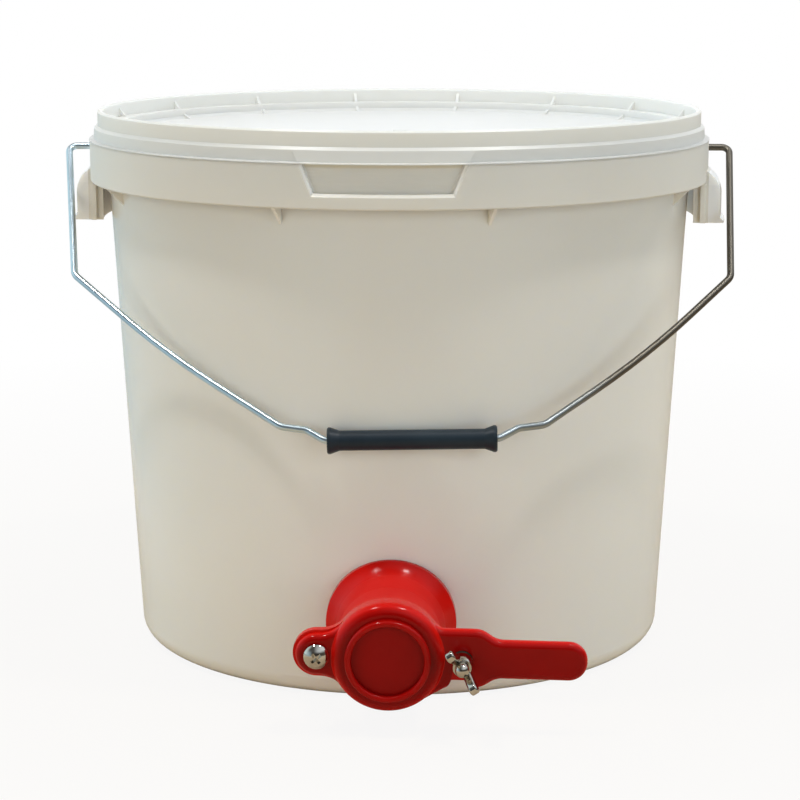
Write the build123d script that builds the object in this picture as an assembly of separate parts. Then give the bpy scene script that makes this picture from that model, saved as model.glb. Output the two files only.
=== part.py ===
from build123d import *
import math
import os

# Honey settling pail: a tapered plastic pail with a lift-off lid, a wire bail with a grip, and a swing gate
# low on its front that lets the settled honey out.
# Millimetres. The origin is on the pail's axis in the plane it stands on, +Z is up, the gate points to -Y
# and the bail's two pivots lie along X.

# Clearances that every fit below is worked out from
SEAT_GAP = 0.15          # between a curved seat and the wall it sits on
SLIDE_GAP = 0.3          # between curved faces that move past each other
PIN_GAP = 0.1            # radial play of a screw in the hole it turns in
BOLT_GAP = 0.2           # radial play of a bolt in a plain hole
OVERCUT = 1.0            # how far a cut runs past the face that it opens

# Pail wall and floor
BASE_R = 140.7           # outer radius of the wall, carried down to the standing plane
DRAFT = 3.15             # degrees that the wall leans outwards
WALL_T = 2.2
PAIL_H = 274.0           # height of the pail's rim
FLOOR_T = 2.4
FOOT_RISE = 1.8          # the middle of the floor stands this far off the table
FOOT_W = 13.0            # width of the flat ring that the pail stands on
BASE_FILLET = 10.0       # outer edge of the base
FLOOR_BEVEL = 6.0        # inner corner of floor and wall
SNAP_BEAD = 0.9          # how far the rim's bead stands out
BEAD_FOOT = 1.5          # from the collar's top up to the bead
BEAD_HEAD = 1.0          # from the bead up to the rim

# Collar: the skirt that hangs round the pail below its rim
COLLAR_DROP = 5.8        # from the rim down to the collar's top
COLLAR_H = 21.2
COLLAR_GAP = 6.8         # open space between wall and skirt
COLLAR_T = 2.0
COLLAR_EDGE = 0.7        # bevel of the skirt's lower edge
GUSSET_ANGLES = (-65.2, -20.1, 17.9, 67.0)   # degrees round from the front, and the same from the back
GUSSET_T = 1.6
GUSSET_TAIL = 10.0       # how far a gusset runs down the wall below the skirt

# Finger recess in the front of the collar, under the lid's lip
RECESS_TOP_W = 77.4
RECESS_FOOT_W = 66.2
RECESS_H = 13.7
RECESS_DEPTH = 3.6
RECESS_EDGE = 1.5        # bevel round its mouth
COLLAR_TURN = -1.15      # degrees that the recess and the ears are turned from the gate's direction

# Ears: the deep parts of the collar at the bail's pivots, each with a hood outside it
EAR_DROP = 20.7          # from the skirt's lower edge down to the ear's
EAR_HALF_W = 31.0        # half width of the flap
EAR_STEP = 1.8           # the hood and the inner box are this much narrower at each side
FLAP_T = 2.7
EAR_BOX_T = 6.4          # thickness of flap and inner box together
HOOD_OUT = 7.3           # how far the hood stands out of the collar
HOOD_SHOULDER = 13.0     # height of the hood's rounded top
HOOD_RISE = 7.0          # how far the hood's top runs up the skirt
HOOD_T = 2.0
HOOD_LIP = 1.8           # small outward lip along the hood's lower edge
HOOD_LIP_H = 3.0

# Lid
LID_T = 2.0
LIP_PROUD = 0.3          # the lid's lip stands this far outside the collar
LIP_FLARE = 2.5          # radial flare of the lip below the lid's second ring
LIP_H = 1.0
LIP_EDGE = 0.5           # height of the lip's upright edge
RING_STEP = 1.8          # step from the second ring in to the upstand
RING_H = 7.85            # height of the second ring, lip included
RING_EDGE = 1.4          # bevel of its upper edge
UPSTAND_H = 7.8
UPSTAND_T = 2.8
UPSTAND_EDGE = 0.9       # bevel of the upstand's two edges
LEDGE_T = 2.5            # thickness of the lid over the pail's rim
PLUG_GAP = 0.7           # between the lid's plug and the inside of the pail
PLUG_H = 12.0            # how far the plug reaches into the pail
PANEL_DROP = 5.0         # from the ledge down to the lid's panel
PANEL_BEVEL = 1.5        # between the panel and the wall round it
LID_RIBS = 16
RIB_T = 1.6
RIB_REACH = 5.5          # how far a rib runs in over the panel
RIB_DIVE = 63.0          # degrees below level at which a rib's curve leaves the upstand
LIFT_LIP_TOP_W = 88.6    # slope over the finger recess from the second ring out to the lip
LIFT_LIP_FOOT_W = 80.0
LIFT_LIP_FLARE = 1.1     # how far that slope stands out at its foot

# Bail
WIRE_D = 3.6
PIVOT_DROP = 5.2         # from the collar's top down to the pivots
BAIL_REACH = 199.6       # from the pivots' line to the grip's axis
LEG_GAP = 2.6            # between the hood and the top of a leg
LEG_L = 93.4             # from the pivots' line to the bend at a leg's foot
LEG_LEAN = 8.5           # how far a leg leans in over that length
LEFT_SPREAD = 1.4        # the leg at -X stands this much further out at its top
LEG_SHIFT = 3.1          # the bail hangs racked to +X: by this much at the legs' feet
GRIP_SHIFT = 10.5        # and by this much at the grip
KNEE_RUN = 22.0          # from the grip's end out to the end of a slanted run
KNEE_RISE = 8.5          # from the grip's axis up to that point
SLANT_BOW = 5.0          # how far a slanted run bows outwards at its middle
CRANK_RUN = 9.5          # from the grip's end out to the crank beside it
CRANK_RISE = 6.5
HEAD_D = 6.0             # upset head on each end of the wire
HEAD_T = 1.6
TOP_BEND_R = 4.0
FOOT_BEND_R = 8.0
BOW_R = 480.0            # the slanted run's wide bend
KNEE_BEND_R = 9.0
CRANK_BEND_R = 6.0
GRIP_L = 82.0
GRIP_D = 9.8
GRIP_FLANGE_D = 13.0
GRIP_FLANGE_W = 1.6
GRIP_NECK_W = 4.4        # length of the taper from flange to tube
GRIP_RIM = 0.6           # bevel of the flanges' rims
GRIP_TILT = 1.38         # degrees that the grip hangs higher at +X
GRIP_PLAY = 0.8          # between the grip's end and the start of the crank

# Gate body: trumpet flange, neck, front plate with two ears, threaded spigot through the wall
GATE_Z = 41.1            # height of the gate's axis at the wall
GATE_ROLL = -1.4         # degrees that the gate is turned about its own axis, as fitted
FLANGE_R = 32.2
FLANGE_EDGE = 2.2        # thickness of the flange's rim
FLARE_L = 20.0           # length over which the flange runs into the neck
NECK_R = 24.0
NECK_RING_R = 25.2       # thicker front part of the neck
NECK_RING_L = 20.5       # its length, up to the plate
NECK_RING_EDGE = 1.1     # rounding of its back edge
BORE_R = 19.0
NECK_L = 42.0            # from the wall to the back of the plate
PLATE_T = 5.0
DISC_R = 27.1            # round part of plate and shutter
PIVOT_OUT = 6.7          # from the round part's edge out to the pivot screw, on the left
STUD_OUT = 8.1           # and out to the wing bolt, on the right
PLATE_EAR_R = 11.6       # the plate's rounded ears round the two screws
EAR_BLEND_R = 14.0       # hollow where an ear meets the round part
PLATE_EDGE = 1.2         # bevel of the plate's back edge
SPIGOT_R = 23.5
SPIGOT_L = 20.0
SPIGOT_GAP = 0.5         # between the spigot and the hole in the wall

# Gasket and ring nut inside the pail
GASKET_R = 28.4
GASKET_L = 9.0           # from the wall's outer face to the gasket's flat back
THREAD_GAP = 0.15
NUT_R = 29.5
NUT_T = 8.0
NUT_NOTCHES = 8
NOTCH_R = 4.0

# Shutter
SHUTTER_T = 7.6
SHUTTER_EDGE = 3.2       # rounding of its front edges
DISC_EDGE = 5.6          # rounding of the round part's front edge
DISC_STEP = 3.2          # the round part stands this far proud of ear and arm
SHUTTER_EAR_R = 10.2     # rounded ear round the pivot screw
SEAL_RING_R = 20.45      # raised ring on the shutter's face, outside
SEAL_RING_W = 3.1
SEAL_RING_H = 3.6
SEAL_RING_EDGE = 1.4
ARM_HALF_W = 14.5        # wide part round the wing bolt
ARM_PAST = 8.9           # how far the wide part runs past the wing bolt
STEP_L = 7.5             # length of the step from the wide part down to the handle
HANDLE_HALF_W = 9.5
HANDLE_L = 43.0
HANDLE_TIP_R = 9.0
ARM_BLEND_R = 7.0        # hollows where the arm leaves the round part
STEP_BLEND_R = 10.0      # corners of the step down to the handle
SLOT_GAP = 1.0           # between the wing bolt and the slot round it
TONGUE_R = 9.0           # rounded corner beside the slot's open end
TONGUE_DROP = 8.0        # from the gate's axis down to that corner's middle

# Screws, nuts and washers
SCREW_R = 3.2
HEAD_R = 6.1             # pan head of the pivot screw
HEAD_SIDE = 1.7          # height of the head's upright side
HEAD_H = 4.9
CROSS_W = 1.5            # arms of the cross recess
CROSS_R = 2.9
CROSS_DEPTH = 2.8
CROSS_TURN = 40.0        # degrees that the cross is turned to
NUT_AF = 10.0
HEX_T = 5.0
SCREW_TAIL = 2.0         # thread standing out behind the hex nut
WASHER_R = 6.2
WASHER_T = 1.2
WING_WASHER_R = 4.9      # the smaller washer under the wing nut
BOLT_HEAD_T = 4.0
WING_HUB_R = 5.3         # at the middle of its height
WING_HUB_END_R = 4.4
WING_HUB_H = 9.5
WING_T = 4.2
WING_EDGE = 1.0          # rounding of the wings
WING_REACH = 9.6         # from the bolt's axis to the middle of a wing's rounded tip
WING_TIP_R = 2.6
WING_RISE = 15.8         # height of that middle above the hub's foot
WING_TURN = 125.7        # degrees that the wings are turned to as left
BOLT_OUT = 4.2           # how far the wing bolt stands out of the hub
BOLT_TIP = 2.0           # and the height of its domed end

# Places worked out from the sizes above
SLOPE = math.tan(math.radians(DRAFT))


def wall_r(z):
    """Outer radius of the pail's wall at a height."""
    return BASE_R + z * SLOPE


COLLAR_TOP = PAIL_H - COLLAR_DROP
COLLAR_FOOT = COLLAR_TOP - COLLAR_H
COLLAR_IN_R = wall_r(COLLAR_TOP) + COLLAR_GAP
COLLAR_R = COLLAR_IN_R + COLLAR_T
EAR_FOOT = COLLAR_FOOT - EAR_DROP
HOOD_R = COLLAR_R + HOOD_OUT
PIVOT_Z = COLLAR_TOP - PIVOT_DROP
LID_FOOT = COLLAR_TOP + SEAT_GAP
LIP_R = COLLAR_R + LIP_PROUD
RING_R = LIP_R - LIP_FLARE - LIP_PROUD
UPSTAND_R = RING_R - RING_STEP
LID_STEP = LID_FOOT + RING_H
LID_TOP = LID_STEP + UPSTAND_H
LEDGE_Z = PAIL_H + LEDGE_T
PANEL_Z = LEDGE_Z - PANEL_DROP
PLUG_R = wall_r(PAIL_H - PLUG_H) - WALL_T - PLUG_GAP
WIRE_R = WIRE_D / 2
LEG_X = HOOD_R + LEG_GAP + WIRE_R
SHUTTER_BACK = NECK_L + PLATE_T
ARM_T = SHUTTER_T - DISC_STEP
ARM_FACE = SHUTTER_BACK + ARM_T
PIVOT_X = -DISC_R - PIVOT_OUT
STUD_X = DISC_R + STUD_OUT
ARM_END = STUD_X + ARM_PAST
HANDLE_START = ARM_END + STEP_L
HANDLE_END = HANDLE_START + HANDLE_L
SLOT_REACH = STUD_X - PIVOT_X
SLOT_HALF_W = SCREW_R + SLOT_GAP

# The bail lies against the wall: the angle below level at which its grip comes to rest there
WALL_LEAN = math.atan(SLOPE)
REST_RUN = (wall_r(PIVOT_Z) * math.cos(WALL_LEAN) + GRIP_D / 2 + SLIDE_GAP) / BAIL_REACH
REST_ANGLE = WALL_LEAN + math.acos(REST_RUN)
BAIL_PLANE = Plane(
    origin=(0, 0, PIVOT_Z), x_dir=(1, 0, 0), z_dir=(0, math.sin(REST_ANGLE), -math.cos(REST_ANGLE))
)

# The gate stands square to the leaning wall, so its axis points a little downwards
GATE_AXIS = (0, -math.cos(WALL_LEAN), -math.sin(WALL_LEAN))
GATE_SEAT = Plane(origin=(0, -wall_r(GATE_Z), GATE_Z), x_dir=(1, 0, 0), z_dir=GATE_AXIS)
GATE_PLANE = Plane(GATE_SEAT.location * Rot(0, 0, GATE_ROLL))


def turned(points):
    """A solid of revolution about Z from an outline of radius and height."""
    return revolve(Plane.XZ * make_face(Polyline(*points, close=True)), Axis.Z)


def ring(inner, outer, low, high):
    """An upright tube between two radii and two heights."""
    return turned([(inner, low), (outer, low), (outer, high), (inner, high)])


def rod(radius, low, high):
    """An upright cylinder on the axis."""
    return Pos(0, 0, low) * Cylinder(radius, high - low, align=(Align.CENTER, Align.CENTER, Align.MIN))


def block(xs, ys, zs):
    """A box between two values on each axis."""
    size = [high - low for low, high in (xs, ys, zs)]
    return Pos(xs[0], ys[0], zs[0]) * Box(*size, align=(Align.MIN, Align.MIN, Align.MIN))


def round_corner(face, corner, radius):
    """The face with its corner nearest to a point rounded."""
    return fillet(face.vertices().sort_by_distance((*corner, 0))[0], radius)


def pail_shell():
    """Wall, floor, foot, rim with its bead, and the collar, turned in one piece."""
    foot_in = wall_r(0) - BASE_FILLET - FOOT_W
    floor_z = FOOT_RISE + FLOOR_T
    bead_low = COLLAR_TOP + BEAD_FOOT
    bead_high = PAIL_H - BEAD_HEAD
    base_corner = (wall_r(0), 0)
    floor_edge = floor_z + FLOOR_BEVEL
    flange_z = COLLAR_TOP - COLLAR_T
    outline = [
        (0, FOOT_RISE),
        (foot_in - FOOT_RISE, FOOT_RISE),
        (foot_in, 0),
        base_corner,
        (wall_r(flange_z), flange_z),
        (COLLAR_IN_R, flange_z),
        (COLLAR_IN_R, COLLAR_FOOT),
        (COLLAR_R - COLLAR_EDGE, COLLAR_FOOT),
        (COLLAR_R, COLLAR_FOOT + COLLAR_EDGE),
        (COLLAR_R, COLLAR_TOP),
        (wall_r(COLLAR_TOP), COLLAR_TOP),
        (wall_r(bead_low), bead_low),
        (wall_r(bead_low) + SNAP_BEAD, bead_low + SNAP_BEAD),
        (wall_r(bead_high) + SNAP_BEAD, bead_high - SNAP_BEAD),
        (wall_r(bead_high), bead_high),
        (wall_r(PAIL_H), PAIL_H),
        (wall_r(PAIL_H) - WALL_T, PAIL_H),
        (wall_r(floor_edge) - WALL_T, floor_edge),
        (wall_r(floor_z) - WALL_T - FLOOR_BEVEL, floor_z),
        (0, floor_z),
    ]
    face = make_face(Polyline(*outline, close=True))
    face = round_corner(face, base_corner, BASE_FILLET)
    return revolve(Plane.XZ * face, Axis.Z)


def gussets():
    """Thin fins under the collar that tie its skirt to the wall, the same at front and back."""
    tail_z = COLLAR_FOOT - GUSSET_TAIL
    high_z = COLLAR_TOP - COLLAR_T / 2
    inside = WALL_T / 2
    skirt_r = COLLAR_IN_R + COLLAR_T / 2
    fin = make_face(
        Polyline(
            (wall_r(tail_z) - inside, tail_z),
            (skirt_r, COLLAR_FOOT + COLLAR_EDGE),
            (skirt_r, high_z),
            (wall_r(high_z) - inside, high_z),
            close=True,
        )
    )
    fin = extrude(Plane.XZ * fin, GUSSET_T / 2, both=True)
    turns = [base + angle for base in (-90, 90) for angle in GUSSET_ANGLES]
    return [Rot(0, 0, turn) * fin for turn in turns]


def hood_shell(wall):
    """A hood's outline turned about the pail's axis, drawn in by a wall thickness for its hollow."""
    shoulder_top = COLLAR_FOOT + HOOD_RISE - wall
    shoulder = shoulder_top - HOOD_SHOULDER
    outer = HOOD_R - wall
    inner = COLLAR_R - COLLAR_T / 2 + wall / 2
    foot = EAR_FOOT - wall
    sides = Polyline((inner, shoulder_top), (inner, foot), (outer, foot), (outer, shoulder))
    crown = TangentArc((outer, shoulder), (inner, shoulder_top), tangent=(0, 1))
    return revolve(Plane.XZ * make_face([*sides.edges(), crown.edge()]), Axis.Z)


def ear():
    """One ear on +X: flap and inner box below the collar, the hood outside it, both open below."""
    box_in = COLLAR_R - EAR_BOX_T
    flap_in = COLLAR_R - FLAP_T
    top = COLLAR_TOP - COLLAR_T / 2
    narrow = EAR_HALF_W - EAR_STEP
    side = (0, HOOD_R + HOOD_LIP + OVERCUT)
    tall = (EAR_FOOT, top)
    flap = ring(flap_in, COLLAR_R, *tall) & block(side, (-EAR_HALF_W, EAR_HALF_W), tall)
    inner = ring(box_in, flap_in + FLAP_T / 4, *tall) & block(side, (-narrow, narrow), tall)
    hood = hood_shell(0) + turned(
        [
            (COLLAR_R, EAR_FOOT),
            (HOOD_R + HOOD_LIP, EAR_FOOT),
            (HOOD_R + HOOD_LIP, EAR_FOOT + HOOD_LIP_H - HOOD_LIP),
            (HOOD_R, EAR_FOOT + HOOD_LIP_H),
            (COLLAR_R, EAR_FOOT + HOOD_LIP_H),
        ]
    )
    hood = hood & block(side, (-narrow, narrow), tall)
    hollow_w = narrow - HOOD_T
    hollow = hood_shell(HOOD_T) & block(side, (-hollow_w, hollow_w), (EAR_FOOT - HOOD_T, top))
    return flap + inner + hood - hollow


def ear_pocket():
    """The space inside an ear's box, which the wire's head sits in."""
    half = EAR_HALF_W - EAR_STEP - HOOD_T
    zs = (EAR_FOOT - OVERCUT, COLLAR_TOP - COLLAR_T)
    return ring(COLLAR_R - EAR_BOX_T + HOOD_T, COLLAR_IN_R, *zs) & block((0, COLLAR_R), (-half, half), zs)


def recess_prism(grow, top):
    """The finger recess seen from the front, grown by a wall thickness for the box behind it."""
    foot = COLLAR_TOP - RECESS_H - grow
    flare = (RECESS_TOP_W - RECESS_FOOT_W) / 2 / RECESS_H
    foot_half = RECESS_FOOT_W / 2 + grow
    top_half = foot_half + (top - foot) * flare
    points = [(-foot_half, foot), (foot_half, foot), (top_half, top), (-top_half, top)]
    return extrude(Plane.XZ * make_face(Polyline(*points, close=True)), COLLAR_R + COLLAR_T)


def recess_mouth(pail):
    """Edges round the recess's mouth in the collar's face: two sides and the lower edge."""
    low, high = COLLAR_TOP - RECESS_H - SLIDE_GAP, COLLAR_TOP - COLLAR_EDGE
    mouth = []
    for edge in pail.edges():
        middle = edge.position_at(0.5)
        on_face = abs(math.hypot(middle.X, middle.Y) - COLLAR_R) < PIN_GAP
        if on_face and low < middle.Z < high and middle.Y < -COLLAR_R / 2:
            mouth.append(edge)
    return mouth


def make_pail():
    pail = pail_shell()
    pail += gussets()
    turn = Rot(0, 0, COLLAR_TURN)
    one_ear = ear()
    pail += [turn * one_ear, turn * mirror(one_ear, Plane.YZ)]
    recess_back = COLLAR_R - RECESS_DEPTH
    skirt_mid = COLLAR_R - COLLAR_T / 2
    box_top = COLLAR_TOP - COLLAR_T / 2
    cut_top = COLLAR_TOP + OVERCUT
    recess_wall = ring(recess_back - COLLAR_T, skirt_mid, COLLAR_FOOT, box_top)
    pail += turn * (recess_prism(COLLAR_T, box_top) & recess_wall)
    recess = recess_prism(0, cut_top) & ring(recess_back, COLLAR_R + OVERCUT, COLLAR_FOOT, cut_top)
    pail -= turn * recess
    pail = chamfer(recess_mouth(pail), RECESS_EDGE)
    pocket = ear_pocket()
    pail -= [turn * pocket, turn * mirror(pocket, Plane.YZ)]
    hole_r = WIRE_R + SLIDE_GAP
    pivot_holes = Cylinder(hole_r, 2 * (COLLAR_R + OVERCUT), rotation=(0, 90, 0))
    pivot_holes -= Cylinder(hole_r, 2 * (COLLAR_IN_R - OVERCUT), rotation=(0, 90, 0))
    pail -= Pos(0, 0, PIVOT_Z) * pivot_holes
    return pail - GATE_PLANE * rod(SPIGOT_R + SPIGOT_GAP, -SPIGOT_L, FLANGE_EDGE)


def lid_rib():
    """One curved fin from the upstand down over the ledge to the panel."""
    root = LID_T / 2
    outer = UPSTAND_R - UPSTAND_T + root
    plug_in = PLUG_R - LID_T
    low = (plug_in - RIB_REACH, PANEL_Z)
    high = (outer, LID_TOP - root)
    sides = Polyline(
        high,
        (outer, LEDGE_Z - root),
        (plug_in + root, LEDGE_Z - root),
        (plug_in + root, PANEL_Z - root),
        (low[0], PANEL_Z - root),
        low,
    )
    dive = math.radians(RIB_DIVE)
    curve = TangentArc(high, low, tangent=(-math.cos(dive), -math.sin(dive)))
    fin = Plane.XZ * make_face([*sides.edges(), curve.edge()])
    return extrude(fin, RIB_T / 2, both=True)


def lift_lip():
    """Slope on the lid's front edge, wider at its top, that the fingers push up."""
    root, slope_top, slope_foot = RING_R - LID_T / 2, LID_STEP - RING_EDGE, LID_FOOT + LIP_EDGE
    flare_r = RING_R + LIFT_LIP_FLARE
    points = [(root, slope_top), (RING_R, slope_top), (flare_r, slope_foot), (root, slope_foot)]
    foot_half, top_half = LIFT_LIP_FOOT_W / 2, LIFT_LIP_TOP_W / 2
    front = [(-foot_half, LID_FOOT), (foot_half, LID_FOOT), (top_half, LID_STEP), (-top_half, LID_STEP)]
    return turned(points) & extrude(Plane.XZ * make_face(Polyline(*front, close=True)), LIP_R + OVERCUT)


def make_lid():
    skirt_in = RING_R - LID_T
    plug_in = PLUG_R - LID_T
    upstand_in = UPSTAND_R - UPSTAND_T
    outline = [
        (0, PANEL_Z),
        (plug_in - PANEL_BEVEL, PANEL_Z),
        (plug_in, PANEL_Z + PANEL_BEVEL),
        (plug_in, LEDGE_Z),
        (upstand_in, LEDGE_Z),
        (upstand_in, LID_TOP - UPSTAND_EDGE),
        (upstand_in + UPSTAND_EDGE, LID_TOP),
        (UPSTAND_R - UPSTAND_EDGE, LID_TOP),
        (UPSTAND_R, LID_TOP - UPSTAND_EDGE),
        (UPSTAND_R, LID_STEP),
        (RING_R - RING_EDGE, LID_STEP),
        (RING_R, LID_STEP - RING_EDGE),
        (RING_R + LIP_PROUD, LID_FOOT + LIP_H),
        (LIP_R, LID_FOOT + LIP_EDGE),
        (LIP_R, LID_FOOT),
        (skirt_in, LID_FOOT),
        (skirt_in, PAIL_H),
        (PLUG_R, PAIL_H),
        (PLUG_R, PAIL_H - PLUG_H),
        (plug_in, PAIL_H - PLUG_H),
        (plug_in, PANEL_Z - LID_T),
        (0, PANEL_Z - LID_T),
    ]
    lid = turned(outline)
    rib = lid_rib()
    step = 360 / LID_RIBS
    lid += [Rot(0, 0, (i + 0.5) * step) * rib for i in range(LID_RIBS)]
    return lid + Rot(0, 0, COLLAR_TURN) * lift_lip()


def bail_side(side):
    """Corners of one half of the bail in its own plane, from the grip's end up to the pivot."""
    half = GRIP_L / 2 + GRIP_PLAY
    end = GRIP_SHIFT + side * half
    reach = BAIL_REACH - side * half * math.tan(math.radians(GRIP_TILT))
    knee = Vector(end + side * KNEE_RUN, reach - KNEE_RISE)
    foot = Vector(LEG_SHIFT + side * (LEG_X - LEG_LEAN), LEG_L)
    top = LEG_X if side > 0 else -LEG_X - LEFT_SPREAD
    outwards = (foot - knee).rotate(Axis.Z, 90 * side).normalized()
    bow = (knee + foot) / 2 + outwards * SLANT_BOW
    return [
        (end, reach),
        (end + side * CRANK_RUN, reach - CRANK_RISE),
        (knee.X, knee.Y),
        (bow.X, bow.Y),
        (foot.X, foot.Y),
        (top, 0),
        (side * (COLLAR_IN_R - SLIDE_GAP - HEAD_T), 0),
    ]


def make_bail_wire():
    """Zinc wire from pivot to pivot, with a crank each side of the grip and an upset head at each end."""
    corners = [*reversed(bail_side(-1)), *bail_side(1)]
    half_bends = [TOP_BEND_R, FOOT_BEND_R, BOW_R, KNEE_BEND_R, CRANK_BEND_R, CRANK_BEND_R]
    bends = [*half_bends, *reversed(half_bends)]
    path = FilletPolyline(*corners, radius=bends)
    start = Plane(origin=path @ 0, z_dir=path % 0)
    wire = sweep(start * Circle(WIRE_R), path=path)
    head = Cylinder(HEAD_D / 2, HEAD_T, rotation=(0, 90, 0))
    head_x = COLLAR_IN_R - SLIDE_GAP - HEAD_T / 2
    wire += [Pos(side * head_x, 0, 0) * head for side in (-1, 1)]
    return BAIL_PLANE * wire


def make_bail_grip():
    """Moulded tube that turns on the wire, with a flange at each end."""
    half = GRIP_L / 2
    flange, tube, bore = GRIP_FLANGE_D / 2, GRIP_D / 2, WIRE_R + SLIDE_GAP
    taper = half - GRIP_FLANGE_W
    neck = taper - GRIP_NECK_W
    grip = turned(
        [
            (bore, -half),
            (flange - GRIP_RIM, -half),
            (flange, GRIP_RIM - half),
            (flange, -taper),
            (tube, -neck),
            (tube, neck),
            (flange, taper),
            (flange, half - GRIP_RIM),
            (flange - GRIP_RIM, half),
            (bore, half),
        ]
    )
    return BAIL_PLANE * (Pos(GRIP_SHIFT, BAIL_REACH, 0) * Rot(0, 0, -GRIP_TILT) * Rot(0, 90, 0) * grip)


def wall_cone(offset):
    """A filled cone near the gate, whose side lies an offset outside the wall's outer face."""
    low = GATE_Z - 2 * FLANGE_R
    high = GATE_Z + 2 * FLANGE_R
    return turned([(0, low), (wall_r(low) + offset, low), (wall_r(high) + offset, high), (0, high)])


def add_ear(face, x, radius):
    """The round part with a rounded ear out to a screw, hollowed where they meet."""
    face += Pos(x, 0) * Circle(radius) + Pos(x / 2, 0) * Rectangle(abs(x), 2 * radius)
    meet = math.copysign(math.sqrt(DISC_R**2 - radius**2), x)
    for y in (-radius, radius):
        face = round_corner(face, (meet, y), EAR_BLEND_R)
    return face


def make_gate_body():
    """Trumpet flange shaped to the wall, neck, eared plate, and the spigot that goes through the wall."""
    neck_foot = (NECK_R, FLARE_L)
    rim = (FLANGE_R, FLANGE_EDGE)
    profile = Polyline(neck_foot, (NECK_R, NECK_L), (0, NECK_L), (0, -SPIGOT_L), (FLANGE_R, -SPIGOT_L), rim)
    flare = TangentArc(neck_foot, rim, tangent=(0, -1))
    trumpet = revolve(Plane.XZ * make_face([*profile.edges(), flare.edge()]), Axis.Z)
    body = GATE_PLANE * trumpet - wall_cone(SEAT_GAP)
    face = add_ear(Circle(DISC_R), PIVOT_X, PLATE_EAR_R)
    plate = extrude(add_ear(face, STUD_X, PLATE_EAR_R), PLATE_T)
    plate = Pos(0, 0, NECK_L) * chamfer(plate.faces().sort_by(Axis.Z)[0].outer_wire().edges(), PLATE_EDGE)
    neck_ring = rod(NECK_RING_R, NECK_L - NECK_RING_L, NECK_L)
    neck_ring = fillet(neck_ring.faces().sort_by(Axis.Z)[0].edges(), NECK_RING_EDGE)
    body += GATE_PLANE * (plate + neck_ring + rod(SPIGOT_R, -SPIGOT_L, NECK_L))
    body -= GATE_PLANE * rod(BORE_R, -SPIGOT_L, SHUTTER_BACK)
    hole = rod(SCREW_R + BOLT_GAP, NECK_L, SHUTTER_BACK)
    return body - [GATE_PLANE * (Pos(x, 0, 0) * hole) for x in (PIVOT_X, STUD_X)]


def make_gate_gasket():
    """Rubber ring that fills the space between the round wall and the nut's flat face."""
    washer = ring(SPIGOT_R + THREAD_GAP, GASKET_R, -GASKET_L, 0)
    return (GATE_PLANE * washer) & wall_cone(-WALL_T - SEAT_GAP)


def make_gate_nut():
    """Ring nut inside the pail, notched for the fingers."""
    nut = ring(SPIGOT_R + THREAD_GAP, NUT_R, -GASKET_L - NUT_T, -GASKET_L)
    notch = Pos(NUT_R + NOTCH_R / 2, 0, 0) * rod(NOTCH_R, -GASKET_L - NUT_T, -GASKET_L)
    nut -= [Rot(0, 0, i * 360 / NUT_NOTCHES) * notch for i in range(NUT_NOTCHES)]
    return GATE_PLANE * nut


def shutter_arm():
    """Wide part round the wing bolt, stepping down to the handle, seen from the front."""
    tip_corners = [(HANDLE_END, HANDLE_HALF_W), (HANDLE_END, -HANDLE_HALF_W)]
    upper_step = [(ARM_END, ARM_HALF_W), (HANDLE_START, HANDLE_HALF_W)]
    lower_step = [(HANDLE_START, -HANDLE_HALF_W), (ARM_END, -ARM_HALF_W)]
    outline = [(0, ARM_HALF_W), *upper_step, *tip_corners, *lower_step, (0, -ARM_HALF_W)]
    face = make_face(Polyline(*outline, close=True))
    for corner in tip_corners:
        face = round_corner(face, corner, HANDLE_TIP_R)
    for corner in upper_step + lower_step:
        face = round_corner(face, corner, STEP_BLEND_R)
    return face


def tongue_centre():
    """Middle of the rounded corner beside the slot's open end, which touches the slot's inner side."""
    reach = SLOT_REACH - SLOT_HALF_W - TONGUE_R
    return PIVOT_X + math.sqrt(reach**2 - TONGUE_DROP**2), -TONGUE_DROP


def slot_tongue():
    """The part of the shutter that runs from the round part out to the slot's inner side."""
    corner = Pos(*tongue_centre()) * Circle(TONGUE_R)
    tongue = make_hull([*Circle(DISC_R).edges(), *corner.edges()])
    beside = Pos(STUD_X / 2, -TONGUE_DROP / 2) * Rectangle(STUD_X, TONGUE_DROP)
    return tongue + (beside & Pos(PIVOT_X, 0) * Circle(SLOT_REACH - SLOT_HALF_W))


def bolt_slot():
    """Path of the wing bolt in the shutter: an arc about the pivot screw, open downwards."""
    swept = Pos(PIVOT_X, 0) * Circle(SLOT_REACH + SLOT_HALF_W)
    below = Pos(STUD_X / 2, -DISC_R) * Rectangle(2 * STUD_X, 2 * DISC_R)
    return (swept & below) - slot_tongue() + Pos(STUD_X, 0) * Circle(SLOT_HALF_W)


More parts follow.
